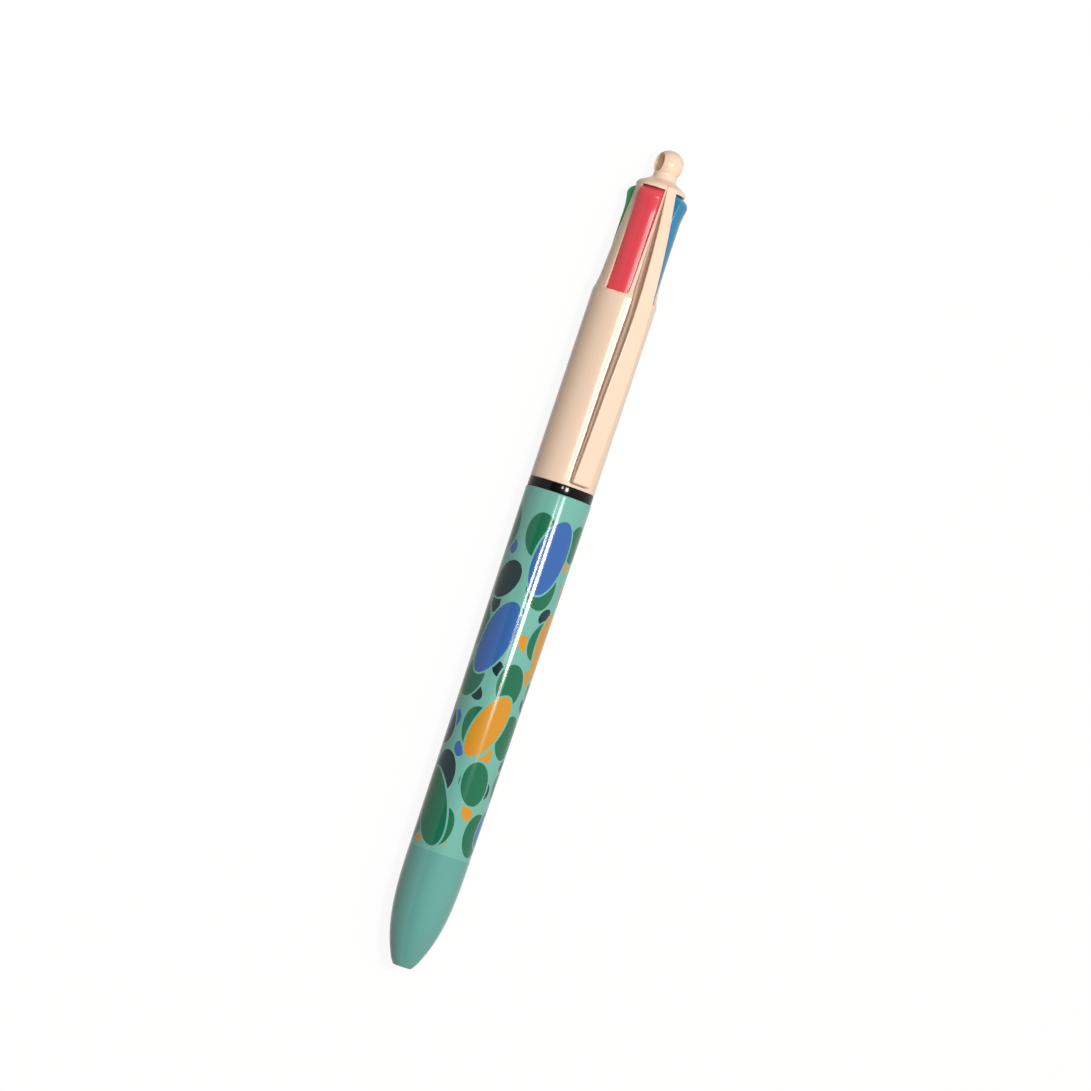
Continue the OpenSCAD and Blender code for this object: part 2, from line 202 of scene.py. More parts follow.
# Film printed round the barrel: oval pebbles in rows, each layer lying over the one before
printFilm = {
    "plain": "#66a8a0",
    "ground": "#74b8ab",
    "low": 19.9, "high": 79.9,  # mm over the point end
    "outline": 0.36,
    "sizes": (0.82, 1.06),
    "layers": [
        {"round": 7, "rows": 12, "half": (1.1, 1.6), "tilt": 50, "stray": (0.9, 0.8), "seed": 5.0,
         "inks": {0.0: "#123036", 0.3: "#d4952a", 0.65: "#3668b0"}},
        {"round": 5, "rows": 7, "half": (2.75, 4.0), "tilt": 26, "stray": (1.2, 0.7), "seed": 3.0,
         "inks": {0.0: "#187050", 0.62: "#123036"}},
        {"round": 3, "rows": 4, "half": (2.9, 6.6), "tilt": 28, "stray": (3.0, 1.4), "seed": 17.0,
         "inks": {0.0: "#d4952a", 0.38: "#3668b0", 0.8: "#187050"}},
    ],
}


def printedPlastic(name, roughness=0.13):
    material, tree = newMaterial(name)
    film = printFilm

    def maths(operation, *values):
        return add(tree, "ShaderNodeMath", dict(enumerate(values)), operation=operation).outputs[0]

    def vectors(operation, *values):
        return add(tree, "ShaderNodeVectorMath", dict(enumerate(values)), operation=operation).outputs[0]

    def joined(x, y, z=0):
        return add(tree, "ShaderNodeCombineXYZ", {"X": x, "Y": y, "Z": z}).outputs[0]

    def drawn(place):
        # One random colour for each cell of a layer
        lots = add(tree, "ShaderNodeTexWhiteNoise", {"Vector": place}, noise_dimensions="3D")
        return lots.outputs["Color"]

    def mixed(share, below, above):
        mix = add(tree, "ShaderNodeMix", {0: share, 6: below, 7: above}, data_type="RGBA")
        return mix.outputs[2]

    coords = add(tree, "ShaderNodeTexCoord").outputs["Object"]
    upright = add(tree, "ShaderNodeMapping", {"Vector": coords, "Location": (-noseEnd, 0, -axisHeight)})
    parts = add(tree, "ShaderNodeSeparateXYZ", {"Vector": upright.outputs["Vector"]})
    turns = maths("MULTIPLY", maths("ARCTAN2", parts.outputs["Y"], parts.outputs["Z"]), 1 / (2 * math.pi))
    height = maths("MULTIPLY", parts.outputs["X"], -1 / mm)
    aboveLow = maths("GREATER_THAN", height, film["low"])
    onFilm = maths("MULTIPLY", aboveLow, maths("LESS_THAN", height, film["high"]))
    ground = mixed(aboveLow, linear(film["plain"]), linear(film["ground"]))
    result = ground
    for layer in film["layers"]:
        rowHeight = (film["high"] - film["low"]) / layer["rows"]
        width = 2 * math.pi * mouthRadius / layer["round"]
        rows = maths("DIVIDE", maths("ADD", height, -film["low"]), rowHeight)
        row = maths("FLOOR", rows)
        columns = maths("MULTIPLY_ADD", row, 0.5, maths("MULTIPLY", turns, layer["round"]))
        column = maths("FLOORED_MODULO", maths("FLOOR", columns), layer["round"])
        lot = add(tree, "ShaderNodeSeparateColor", {"Color": drawn(joined(column, row, layer["seed"]))})
        stray = vectors("ADD", drawn(joined(row, layer["seed"], column)), (-0.5, -0.5, 0))
        stray = vectors("MULTIPLY", stray, (*layer["stray"], 0))
        place = vectors("ADD", joined(maths("FRACT", columns), maths("FRACT", rows)), (-0.5, -0.5, 0))
        place = vectors("MULTIPLY", place, (width, rowHeight, 0))
        tilt = math.radians(layer["tilt"])
        lean = add(tree, "ShaderNodeMapRange", {"Value": lot.outputs["Green"], "To Min": -tilt, "To Max": tilt})
        turned = add(tree, "ShaderNodeVectorRotate", {
            "Vector": vectors("SUBTRACT", place, stray), "Angle": lean.outputs["Result"],
        }, rotation_type="Z_AXIS").outputs[0]
        size = add(tree, "ShaderNodeMapRange", {
            "Value": lot.outputs["Blue"], "To Min": film["sizes"][0], "To Max": film["sizes"][1],
        })
        ramp = add(tree, "ShaderNodeValToRGB", {"Fac": lot.outputs["Red"]})
        ramp.color_ramp.interpolation = "CONSTANT"
        stops = ramp.color_ramp.elements
        while len(stops) < len(layer["inks"]):
            stops.new(1.0)
        for stop, (share, ink) in zip(stops, layer["inks"].items()):
            stop.position = share
            stop.color = linear(ink)
        # The ground's colour a little larger first, which leaves a thin outline round each pebble
        for grow, paint in ((film["outline"], ground), (0, ramp.outputs["Color"])):
            reach = vectors("MULTIPLY", turned, (1 / (layer["half"][0] + grow), 1 / (layer["half"][1] + grow), 0))
            reach = add(tree, "ShaderNodeVectorMath", {0: reach}, operation="LENGTH").outputs["Value"]
            inside = maths("MULTIPLY", maths("LESS_THAN", reach, size.outputs["Result"]), onFilm)
            result = mixed(inside, result, paint)
    plasticFinish(tree, result, roughness, plastic["specular"])
    return material


# Turned, drawn or ground metal: fine lines across the pen, a soft sheen
metal = {
    "rings": 0.12, "depth": 0.002,  # mm between the lines, and how deep they are
    "distortion": 0.6, "bump": 0.4,
    "patch": 0.8,  # mm between duller and brighter patches
    "wear": (0.7, 1.4),
    "tones": (0.93, 1.05),
}


def turnedMetal(name, colour, roughness):
    p = metal
    material, tree = newMaterial(name)
    coords = add(tree, "ShaderNodeTexCoord").outputs["Object"]
    rings = add(tree, "ShaderNodeTexWave", {
        "Vector": coords, "Scale": math.pi / 10 / (p["rings"] * mm), "Distortion": p["distortion"], "Detail": 2.0,
    }, wave_type="BANDS", bands_direction="X")
    bump = add(tree, "ShaderNodeBump", {
        "Height": rings.outputs["Fac"], "Strength": p["bump"], "Distance": p["depth"] * mm,
    })
    worn = add(tree, "ShaderNodeTexNoise", {"Vector": coords, "Scale": 1 / (p["patch"] * mm), "Detail": 3.0})
    rough = add(tree, "ShaderNodeMapRange", {
        "Value": worn.outputs["Fac"], "To Min": roughness * p["wear"][0], "To Max": roughness * p["wear"][1],
    })
    paint = add(tree, "ShaderNodeMapRange", {
        "Value": worn.outputs["Fac"], "To Min": p["tones"][0], "To Max": p["tones"][1],
    })
    tone = add(tree, "ShaderNodeHueSaturation", {"Value": paint.outputs["Result"], "Color": linear(colour)})
    surface = add(tree, "ShaderNodeBsdfPrincipled", {
        "Base Color": tone.outputs["Color"], "Metallic": 1.0, "Roughness": rough.outputs["Result"],
        "Normal": bump.outputs["Normal"],
    })
    add(tree, "ShaderNodeOutputMaterial", {"Surface": surface.outputs["BSDF"]})
    return material


# Extruded polypropylene tube: milky, lets the ink show through
tube = {
    "colour": "#f1f1ec", "roughness": (0.25, 0.4), "transmission": 0.7, "ior": 1.49,
    "haze": 2.5, "hazeDepth": 0.01, "bump": 0.3,  # mm between the cloudy patches, and their height
}


def milkyTube(name):
    p = tube
    material, tree = newMaterial(name)
    coords = add(tree, "ShaderNodeTexCoord").outputs["Object"]
    haze = add(tree, "ShaderNodeTexNoise", {"Vector": coords, "Scale": 1 / (p["haze"] * mm), "Detail": 2.0})
    rough = add(tree, "ShaderNodeMapRange", {
        "Value": haze.outputs["Fac"], "To Min": p["roughness"][0], "To Max": p["roughness"][1],
    })
    bump = add(tree, "ShaderNodeBump", {
        "Height": haze.outputs["Fac"], "Strength": p["bump"], "Distance": p["hazeDepth"] * mm,
    })
    surface = add(tree, "ShaderNodeBsdfPrincipled", {
        "Base Color": linear(p["colour"]), "Roughness": rough.outputs["Result"],
        "Transmission Weight": p["transmission"], "IOR": p["ior"], "Normal": bump.outputs["Normal"],
    })
    add(tree, "ShaderNodeOutputMaterial", {"Surface": surface.outputs["BSDF"]})
    return material


creamPlastic = mouldedPlastic("creamPolystyrene", "#f8dcc5", 0.2)
printedBarrel = printedPlastic("printedPolystyrene")
blackGloss = mouldedPlastic("blackLacquer", "#080708", 0.12, 0.2)  # sprayed, deep and very smooth
naturalPlastic = mouldedPlastic("naturalAcetal", "#e9e4da", 0.45)  # moulded, dull and waxy
springSteel = turnedMetal("springSteelWire", "#c8cbd0", 0.28)  # drawn
brassPoint = turnedMetal("turnedBrass", "#c9b27a", 0.24)
carbideBall = turnedMetal("tungstenCarbide", "#8f9296", 0.12)  # ground, nearly a mirror
tubePlastic = milkyTube("milkyPolypropylene")
for name, colour in colours.items():
    colour["sliderMaterial"] = mouldedPlastic(name + "Polystyrene", colour["plastic"])
    colour["inkMaterial"] = mouldedPlastic(name + "OilInk", colour["ink"], 0.12)
print("materials made")


def spread(low, high, count):
    # Evenly spaced places from low to high
    return [low + (high - low) * i / (count - 1) for i in range(count)]


def between(points, place):
    # A value read off a list of (place, value)
    if place <= points[0][0]:
        return points[0][1]
    for (low, first), (high, second) in zip(points, points[1:]):
        if place <= high:
            return first + (second - first) * (place - low) / (high - low)
    return points[-1][1]


def softened(points, steps=4, most=0.45):
    # Points are (across, along, corner radius); a corner with a radius becomes a short curve
    outline = []
    for i, (u, v, corner) in enumerate(points):
        here = Vector((u, v))
        if corner == 0:
            outline.append(here)
            continue
        before = Vector(points[i - 1][:2]) - here
        after = Vector(points[(i + 1) % len(points)][:2]) - here
        start = here + before.normalized() * min(corner, before.length * most)
        end = here + after.normalized() * min(corner, after.length * most)
        for step in range(steps + 1):
            t = step / steps
            outline.append(start * (1 - t) ** 2 + here * 2 * t * (1 - t) + end * t ** 2)
    return outline


def levelSection(points, height):
    return [(q.x, q.y, height) for q in softened(points)]


def mirroredSection(side, outer, height):
    # One side's points as (out, half width, corner radius), repeated on the other side of the crest
    return levelSection([(u, -w, corner) for u, w, corner in side] + [(outer, 0, 0)] + side[::-1], height)


def closedLoop(bm, points):
    verts = [bm.verts.new(p) for p in points]
    return verts, [bm.edges.new((verts[i - 1], verts[i])) for i in range(len(verts))]


def spun(bm, outline, steps=144, out=0, weld=1e-4):
    # A closed outline of (radius, height) turned round an upright axis
    verts, edges = closedLoop(bm, [(out + p[0], 0, p[1]) for p in outline])
    bmesh.ops.spin(
        bm, geom=verts + edges, cent=(out, 0, 0), axis=(0, 0, 1), angle=2 * math.pi, steps=steps, use_merge=True,
    )
    bmesh.ops.remove_doubles(bm, verts=bm.verts, dist=weld)


def lofted(bm, sections):
    # Closed sections, all with the same number of points, joined one to the next and capped
    rings = [closedLoop(bm, section)[1] for section in sections]
    for low, high in zip(rings, rings[1:]):
        bmesh.ops.bridge_loops(bm, edges=low + high)
    bmesh.ops.edgeloop_fill(bm, edges=rings[0])
    bmesh.ops.edgeloop_fill(bm, edges=rings[-1])


def coiled(bm, section, runs, stepsPerTurn):
    # A closed section wound up the axis; each run is (turns, rise of one turn)
    verts, firstEdges = closedLoop(bm, section)
    last = verts + firstEdges
    for turns, rise in runs:
        made = bmesh.ops.spin(
            bm, geom=last, cent=(0, 0, 0), axis=(0, 0, 1), dvec=(0, 0, rise / stepsPerTurn),
            angle=2 * math.pi * turns, steps=round(turns * stepsPerTurn), use_merge=False,
        )
        last = [g for g in made["geom_last"] if not isinstance(g, bmesh.types.BMFace)]
    lastEdges = [g for g in last if isinstance(g, bmesh.types.BMEdge)]
    bmesh.ops.edgeloop_fill(bm, edges=firstEdges)
    bmesh.ops.edgeloop_fill(bm, edges=lastEdges)


def finishPiece(bm, name, body, node, material, turn=0, sharp=35):
    bmesh.ops.recalc_face_normals(bm, faces=bm.faces)
    turnMatrix = Matrix.Rotation(math.radians(turn), 4, "Z")
    bmesh.ops.transform(bm, matrix=layDown @ turnMatrix, verts=bm.verts)
    for face in bm.faces:
        face.smooth = True
    for edge in bm.edges:
        edge.smooth = len(edge.link_faces) != 2 or edge.calc_face_angle(0) < math.radians(sharp)
    mesh = bpy.data.meshes.new(name)
    bm.to_mesh(mesh)
    bm.free()
    mesh.materials.append(material)
    piece = bpy.data.objects.new(name, mesh)
    bpy.context.scene.collection.objects.link(piece)
    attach(piece, body)
    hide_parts(node)
    return piece


lowerBarrel = {
    "noseLength": 22.9, "nosePower": 3.6, "noseSteps": 36, "noseRadius": 5.271, "noseEdge": 0.3,
    "holeRadius": 1.25, "holeRound": 0.12, "rim": 0.35, "rimRound": 0.2, "land": 0.4,
    "mouthBore": 4.951, "mouthRound": 0.15, "mouthEdge": 0.22,
    "neckStep": ((4.951, 0.4, 0), (4.58, 1.1, 0)),  # (radius, depth below the neck's end, corner)
    "bore": ((4.121, 16.5, 0.4), (3.95, 9.7, 0), (3.4, 6.5, 0)),  # (radius, height, corner)
}


def makeLowerBarrel():
    p = lowerBarrel
    rimRadius = p["holeRadius"] + p["rim"]
    start = rimRadius + p["noseEdge"]
    outside = []
    for share in spread(0, 1, p["noseSteps"] + 1)[1:]:
        bulge = (p["noseRadius"] - start) * (1 - (1 - share) ** p["nosePower"])
        outside.append((start + bulge, p["noseEdge"] + (p["noseLength"] - p["noseEdge"]) * share, 0))
    bm = bmesh.new()
    spun(bm, softened([
        (p["holeRadius"], p["land"], 0), (p["holeRadius"], 0, p["holeRound"]),
        (rimRadius, 0, p["rimRound"]), *outside,
        (mouthRadius, mouthHeight, p["mouthEdge"]), (p["mouthBore"], mouthHeight, p["mouthRound"]),
        *((radius, neckHeight - depth, corner) for radius, depth, corner in p["neckStep"]), *p["bore"],
    ]))
    finishPiece(bm, "lowerBarrelShell", "lower_body", "lower_barrel", printedBarrel)


makeLowerBarrel()
print("lower barrel made")

trimRing = {"edge": 0.16, "innerEdge": 0.05}


def makeTrimRing():
    inner, edge, innerEdge = lowerBarrel["mouthBore"], trimRing["edge"], trimRing["innerEdge"]
    bm = bmesh.new()
    spun(bm, softened([
        (inner, ringBottom, innerEdge), (ringRadius, ringBottom, edge),
        (ringRadius, ringTop, edge), (inner, ringTop, innerEdge),
    ]))
    finishPiece(bm, "glossTrimRing", "ring_body", "trim_ring", blackGloss)


makeTrimRing()
print("trim ring made")

crown = {
    # The dome, as (height over the slots' upper end, radius)
    "dome": ((-0.3, 4.33), (0.15, 4.28), (0.4, 4.1), (0.65, 3.8), (0.9, 3.4), (1.15, 2.95),
             (1.4, 2.5), (1.65, 2.2), (1.95, 2.06), (2.4, 2.02)),
    "domeRound": 0.2, "rimRound": 0.05, "core": 1.2, "sunk": 0.45,
    "roof": (2.6, 0.06),  # the underside rises inwards to leave room for the sliders' tops
    "neck": ((2.02, 1.56), (1.5, 1.95), (0, 2.0)),  # (radius, depth below the ball's middle)
    "ballRadius": 2.55, "holeRadius": 1.5, "holeEdge": 0.3, "holeRound": 0.1,
    "steps": 192, "ballSteps": 96, "ballRings": 33,
}

upperBarrel = {
    "boreRadius": 4.121, "coreRadius": 4.551, "seatRadius": 4.901, "seatLength": 0.5, "ringGap": 0.03,
    "chamberRadius": 4.98, "chamberLow": 96.0, "foot": 0.14, "steps": 288,
    "sleeveLow": 1.2, "sleeveRings": 9, "scoopLow": 2.0, "scoopHigh": 0.08, "scoopRings": 25,
    "slotLength": 19.05, "slotHalf": 2.1, "slotCorner": 0.6,
    "shoulder": 2.2, "shoulderShare": 0.25, "drop": 0.4, "taper": 0.97,
    "threadPitch": 1.25, "threadTurns": 4.6, "threadStart": 0.45, "threadSteps": 72,
    "thread": ((-0.1, 0), (0.35, 0.3), (0.35, 0.4), (-0.1, 0.7)),  # (radius over the core, share of the pitch)
    "scoopRadius": 2.64, "scoopOut": 2.2, "scoopUp": 1.06, "scoopEdge": 0.06, "scoopWall": 0.2,
    "ribLow": 0.3, "ribTop": 0.5,  # the ribs run down into the sleeve and up into the crown
    "ribTuck": 0.05, "crownReach": 1.2,  # and keep under the crown's outline near their tops
    "ribEdge": 0.2, "ribArc": 11, "ribWiden": 0.1, "ribClear": 0.001,
}
slotHeight = crownHeight - upperBarrel["slotLength"]


def barrelRadius(height):
    # The sleeve steps in a little at the shoulder and tapers from there to the crown
    p = upperBarrel
    low = slotHeight - p["shoulder"] * p["shoulderShare"]
    t = min(max((height - low) / p["shoulder"], 0), 1)
    radius = upperRadius - p["drop"] * t * t * (3 - 2 * t)
    taperLength = crownHeight - low - p["shoulder"]
    beyond = min(max(height - low - p["shoulder"], 0), taperLength)
    return radius - p["taper"] * beyond / taperLength


def domeRadius(height):
    return between(crown["dome"], height - crownHeight)


def ribSection(height):
    # A wedge between two slots, with the slot walls at 45 degrees to its middle
    p = upperBarrel
    cornerTop = slotHeight + p["slotCorner"]
    rise = min(max(cornerTop - height, 0), p["slotCorner"])
    half = p["slotHalf"] - p["slotCorner"] + math.sqrt(p["slotCorner"] ** 2 - rise ** 2)
    apex = half * math.sqrt(2)
    inner = apex if height > cornerTop - p["ribWiden"] else max(apex, p["chamberRadius"])
    outer = barrelRadius(height)
    if height > crownHeight - p["crownReach"]:
        outer = min(outer, domeRadius(height))
        if height > crownHeight + crown["dome"][0][0]:
            outer -= p["ribTuck"]
    near, far = [(apex + math.sqrt(max(2 * r * r - apex * apex, 0))) / 2 for r in (inner, outer)]
    corner = math.atan2(far - apex, far)
    arc = [(outer * math.cos(a), outer * math.sin(a), 0) for a in spread(corner, -corner, p["ribArc"])[1:-1]]
    clear = p["ribClear"]  # keeps the inner corners apart where they meet
    return levelSection([
        (inner, 0, 0), (near + clear, near - apex + clear, 0), (far, far - apex, p["ribEdge"]),
        *arc, (far, apex - far, p["ribEdge"]), (near + clear, apex - near - clear, 0),
    ], height)


def makeSleeve(bm):
    # Sleeve and neck in one outline, with close rings under the slots for the scoops
    p = upperBarrel
    scoopStart = slotHeight - p["scoopLow"]
    heights = spread(ringTop + p["sleeveLow"], scoopStart - 0.2, p["sleeveRings"])[:-1]
    heights += spread(scoopStart, slotHeight - p["scoopHigh"], p["scoopRings"])
    seatHeight, footHeight = mouthHeight - p["seatLength"], ringTop + p["ringGap"]
    spun(bm, softened([
        (p["chamberRadius"], slotHeight, 0.06), (p["chamberRadius"], p["chamberLow"], 0),
        (p["boreRadius"], p["chamberLow"], 0), (p["boreRadius"], neckHeight, 0.1),
        (p["coreRadius"], neckHeight, 0.25), (p["coreRadius"], seatHeight, 0),
        (p["seatRadius"], seatHeight, 0.1), (p["seatRadius"], footHeight, 0),
        (upperRadius, footHeight, p["foot"]), *((barrelRadius(h), h, 0) for h in heights),
        (barrelRadius(slotHeight), slotHeight, 0.02),
    ]), p["steps"])


def scoop(bm, turn):
    # A shallow dish under one slot, with a soft edge
    p = upperBarrel
    out = upperRadius + p["scoopOut"]
    middle = Vector((out * math.cos(turn), out * math.sin(turn), slotHeight + p["scoopUp"]))
    least = p["chamberRadius"] + p["scoopWall"]
    for vert in bm.verts:
        gap, radius = vert.co - middle, vert.co.xy.length
        if gap.length >= p["scoopRadius"] or radius <= least:
            continue
        across = vert.co.xy.normalized()
        reach = middle.xy.dot(across)
        aside = (middle.xy - across * reach).length
        depth = p["scoopRadius"] ** 2 - aside ** 2 - gap.z ** 2
        if depth > 0:
            below = radius - reach + math.sqrt(depth)
            below = (below + math.sqrt(below ** 2 + p["scoopEdge"] ** 2)) / 2
            vert.co.xy = across * max(radius - below, least)


def makeUpperBarrel():
    p = upperBarrel
    bm = bmesh.new()
    makeSleeve(bm)
    for colour in colours.values():
        scoop(bm, math.radians(colour["turn"]))
    # Ribs between the slots, with close sections at the slots' corners and under the crown
    corner = p["slotCorner"]
    widen = slotHeight + corner - p["ribWiden"]
    heights = [slotHeight + corner * (1 - math.cos(math.radians(a))) for a in range(0, 91, 15)]
    heights = sorted([slotHeight - p["ribLow"], *heights, widen - 0.01, widen + 0.01])
    heights += spread(slotHeight + 2, crownHeight - p["crownReach"], 9)
    heights += spread(crownHeight - 0.9, crownHeight + 0.1, 11) + [crownHeight + p["ribTop"]]
    for turn in (0, 90, 180, 270):
        rotation = Matrix.Rotation(math.radians(turn), 4, "Z")
        lofted(bm, [[rotation @ Vector(q) for q in ribSection(h)] for h in heights])
    # A real screw thread on the neck
    pitch, start = p["threadPitch"], neckHeight + p["threadStart"]
    profile = [(p["coreRadius"] + over, 0, start + share * pitch) for over, share in p["thread"]]
    coiled(bm, profile, [(p["threadTurns"], pitch)], p["threadSteps"])
    finishPiece(bm, "upperBarrelShell", "upper_body", "upper_barrel", creamPlastic)


makeUpperBarrel()
print("upper barrel made")


def makeCrown():
    p = crown
    ballHeight = penHeight - p["ballRadius"]
    low, roof = crownHeight - p["sunk"], crownHeight + p["roof"][1]
    bm = bmesh.new()
    dome = [(radius, crownHeight + rise, p["domeRound"] if i else p["rimRound"])
            for i, (rise, radius) in enumerate(p["dome"])]
    spun(bm, softened([
        (0, low, 0), (p["core"], low, 0), (p["core"], roof, 0), (p["roof"][0], roof, 0), *dome,
        *((radius, ballHeight - depth, 0) for radius, depth in p["neck"]),
    ]), p["steps"])
    # The ball is turned round its own hole, which opens a little at both rims
    edge = math.asin(p["holeRadius"] / p["ballRadius"])
    ring = [(p["ballRadius"] * math.sin(a), -p["ballRadius"] * math.cos(a), 0)
            for a in spread(edge, math.pi - edge, p["ballRings"])[2:-2]]
    rim = ring[0][1] + p["holeEdge"]
    ball = bmesh.new()
    spun(ball, softened([
        (p["holeRadius"], rim, p["holeRound"]), *ring, (p["holeRadius"], -rim, p["holeRound"]),
    ]), p["ballSteps"])
    bmesh.ops.rotate(ball, verts=ball.verts, cent=(0, 0, 0), matrix=Matrix.Rotation(math.pi / 2, 3, "X"))
    bmesh.ops.translate(ball, verts=ball.verts, vec=(0, 0, ballHeight))
    ballMesh = bpy.data.meshes.new("ball")
    ball.to_mesh(ballMesh)
    ball.free()
    bm.from_mesh(ballMesh)
    bpy.data.meshes.remove(ballMesh)
    finishPiece(bm, "crownAndBall", "upper_body", "crown", creamPlastic)


makeCrown()
print("crown made")

clip = {
    "longer": 0.6,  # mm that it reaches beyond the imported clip
    "gap": 0.55, "touch": 0.03, "sink": 0.25, "endRise": 1.66, "tipLift": 0.95, "rootRise": 0.17,
    "foot": 0.065, "highest": 0.13, "gapEnd": 0.07,  # shares of the clip's length
    "footLow": 0.6, "footRise": 1.6,  # where the tip comes down and the gap opens, in lengths of the foot
    "sinkHeight": 0.9, "rootPower": 1.9, "tipPower": 1.35, "bodyLow": 0.5, "steps": 90, "sharp": 50,
    # Half width and the rails' lift over the barrel, as (height over the slots' lower end, value)
    "half": ((-16, 1.65), (0, 1.3), (10, 1.11), (19, 0.9)),
    "rail": ((-33, 0.95), (-27, 1.0), (-22, 1.3), (-14, 1.56), (-8, 1.55), (-3, 1.38),
             (-1, 0.82), (1, 0.76), (5, 0.48), (13, -0.05)),
    "railEdge": 0.45, "railRound": 0.45, "railDrop": 0.12, "railThick": 0.2,  # railRound is a share of the rail
    "plate": 0.45, "plateEdge": 0.2, "plateCorner": 0.06, "bow": 0.06, "lip": 0.03, "lipCorner": 0.02,
    "groove": 0.93,  # the groove between plate and rail takes this share of the half width
    "grooveStart": 0.4, "grooveFade": 1.2,
    "tip": ((0.001, 0.22), (0.08, 0.08), (0.25, 0.0)),  # (height over the end, how much smaller)
    "root": ((0.3, 0.24), (0.6, 0.12), (0.9, -0.02), (1.2, -0.25)),  # (height in the crown, how proud of it)
    "rootNarrowing": 0.1,
    "rootSide": ((1.2, 0.05), (0.95, 0.02), (0.85, 0.02), (0.5, 0.02), (0.42, 0.02), (0.03, 0.2)),  # (depth, corner)
}
clipEnd = heightOf(clipHigh.x) - clip["longer"]
clipLength = crownHeight - clipEnd


def clipOuter(height):
    # Highest above the barrel a little below the slots, lower at both ends
    high = slotHeight - clip["highest"] * clipLength
    if height > high:
        share = (height - high) / (crownHeight - high)
        root = barrelRadius(crownHeight) + clip["rootRise"]
        return clipReach - (clipReach - root) * share ** clip["rootPower"]
    share = (high - height) / (high - clipEnd)
    return clipReach - (clipReach - upperRadius - clip["endRise"]) * share ** clip["tipPower"]


def clipInner(height):
    # Free over the barrel, down on it at the foot and sunk into the rib above the slots
    p = clip
    foot = p["foot"] * clipLength
    lift = between((
        (clipEnd, p["tipLift"]), (clipEnd + p["footLow"] * foot, p["touch"]), (clipEnd + foot, p["touch"]),
        (clipEnd + p["footRise"] * foot, p["gap"]), (slotHeight - p["gapEnd"] * clipLength, p["gap"]),
        (slotHeight + p["sinkHeight"], -p["sink"]),
    ), height)
    return barrelRadius(height) + lift


def clipSection(height, shrink=0.0):
    p = clip
    place = height - slotHeight
    half = between(p["half"], place) - shrink
    outer = clipOuter(height) - shrink
    plate = outer - p["plate"] + shrink
    rail = min(barrelRadius(height) + between(p["rail"], place), plate - p["railDrop"])
    inner = min(clipInner(height) + shrink, rail - p["railThick"])
    # The groove dies out at the tip
    depth = p["groove"] * half * min(max((height - clipEnd - p["grooveStart"]) / p["grooveFade"], 0), 1)
    edge = min(p["railEdge"], (rail - inner) * p["railRound"])
    return mirroredSection([
        (inner, half, edge), (rail, half, edge), (rail + p["lip"], half - depth, p["lipCorner"]),
        (plate - p["lip"], half - depth, p["lipCorner"]), (plate, half, p["plateCorner"]),
        (outer - p["bow"], half, p["plateEdge"]),
    ], outer, height)


def makeClip():
    p = clip
    sections = [clipSection(clipEnd + up, shrink) for up, shrink in p["tip"]]
    sections += [clipSection(h) for h in spread(clipEnd + p["bodyLow"], crownHeight, p["steps"])]
    # The root lies down on the crown and sinks into it
    for up, proud in p["root"]:
        outer = domeRadius(crownHeight + up) + proud
        half = p["half"][-1][1] - p["rootNarrowing"] * up
        side = [(outer - depth, half, corner) for depth, corner in p["rootSide"]]
        sections.append(mirroredSection(side, outer, crownHeight + up))
    bm = bmesh.new()
    lofted(bm, sections)
    finishPiece(bm, "clipArm", "upper_body", "clip", creamPlastic, sharp=p["sharp"])


makeClip()
print("clip made")

slider = {
    "half": 2.03, "radius": 4.93, "face": 4.2, "faceArc": 13, "edge": 0.18,
    "innerOut": 1.35, "clear": 0.778, "wall": 0.05,
    "ridge": 0.5, "ridgeLength": 3.1, "ridgePower": 1.4, "round": 0.55,
    "topSlope": 1.6, "topRadius": 2.7, "topCurve": 1.4, "topEnd": 1.45, "tuck": 0.05, "topEdge": 0.08,
    "collarThick": 1.4, "collarEdge": 0.12, "collarSteps": 48,
    "stub": 2.5, "stubRadius": 0.85, "stubEdge": 0.2, "stubSunk": 0.5, "stubSteps": 32,
}
ridgeTop = sliderTop - slider["topSlope"]


def sliderRadius(height):
    # Sweeps out to the thumb ridge, turns over it in a small curve and slopes in under the crown
    p = slider
    low, high = ridgeTop - p["round"], ridgeTop + p["round"]

    def below(z):
        return p["radius"] + p["ridge"] * max(1 - (ridgeTop - z) / p["ridgeLength"], 0) ** p["ridgePower"]

    def above(z):
        share = min((z - ridgeTop) / p["topSlope"], 1)
        fall = (1 - share ** p["topCurve"]) ** (1 / p["topCurve"])
        return p["topRadius"] + (p["radius"] + p["ridge"] - p["topRadius"]) * fall

    if height <= low:
        return below(height)
    if height >= high:
        return above(height)
    t = (height - low) / (high - low)
    return below(low) * (1 - t) ** 2 + 2 * t * (1 - t) * below(ridgeTop) + above(high) * t ** 2


def sliderSection(height, inset=0.0):
    p = slider
    half, radius = p["half"] - inset, sliderRadius(height) - inset
    # The face is domed more than the barrel is round
    face = p["face"]
    corner = math.asin(half / face)
    arc = [(radius - face + face * math.cos(a), face * math.sin(a), 0)
           for a in spread(-corner, corner, p["faceArc"])[1:-1]]
    side = radius - face + math.sqrt(face ** 2 - half ** 2)
    back = min(half + p["clear"], side - p["wall"])
    return levelSection([
        (p["innerOut"], p["clear"] - p["innerOut"], 0), (back, -half, 0), (side, -half, p["edge"]),
        *arc, (side, half, p["edge"]), (back, half, 0), (p["innerOut"], p["innerOut"] - p["clear"], 0),
    ], height)


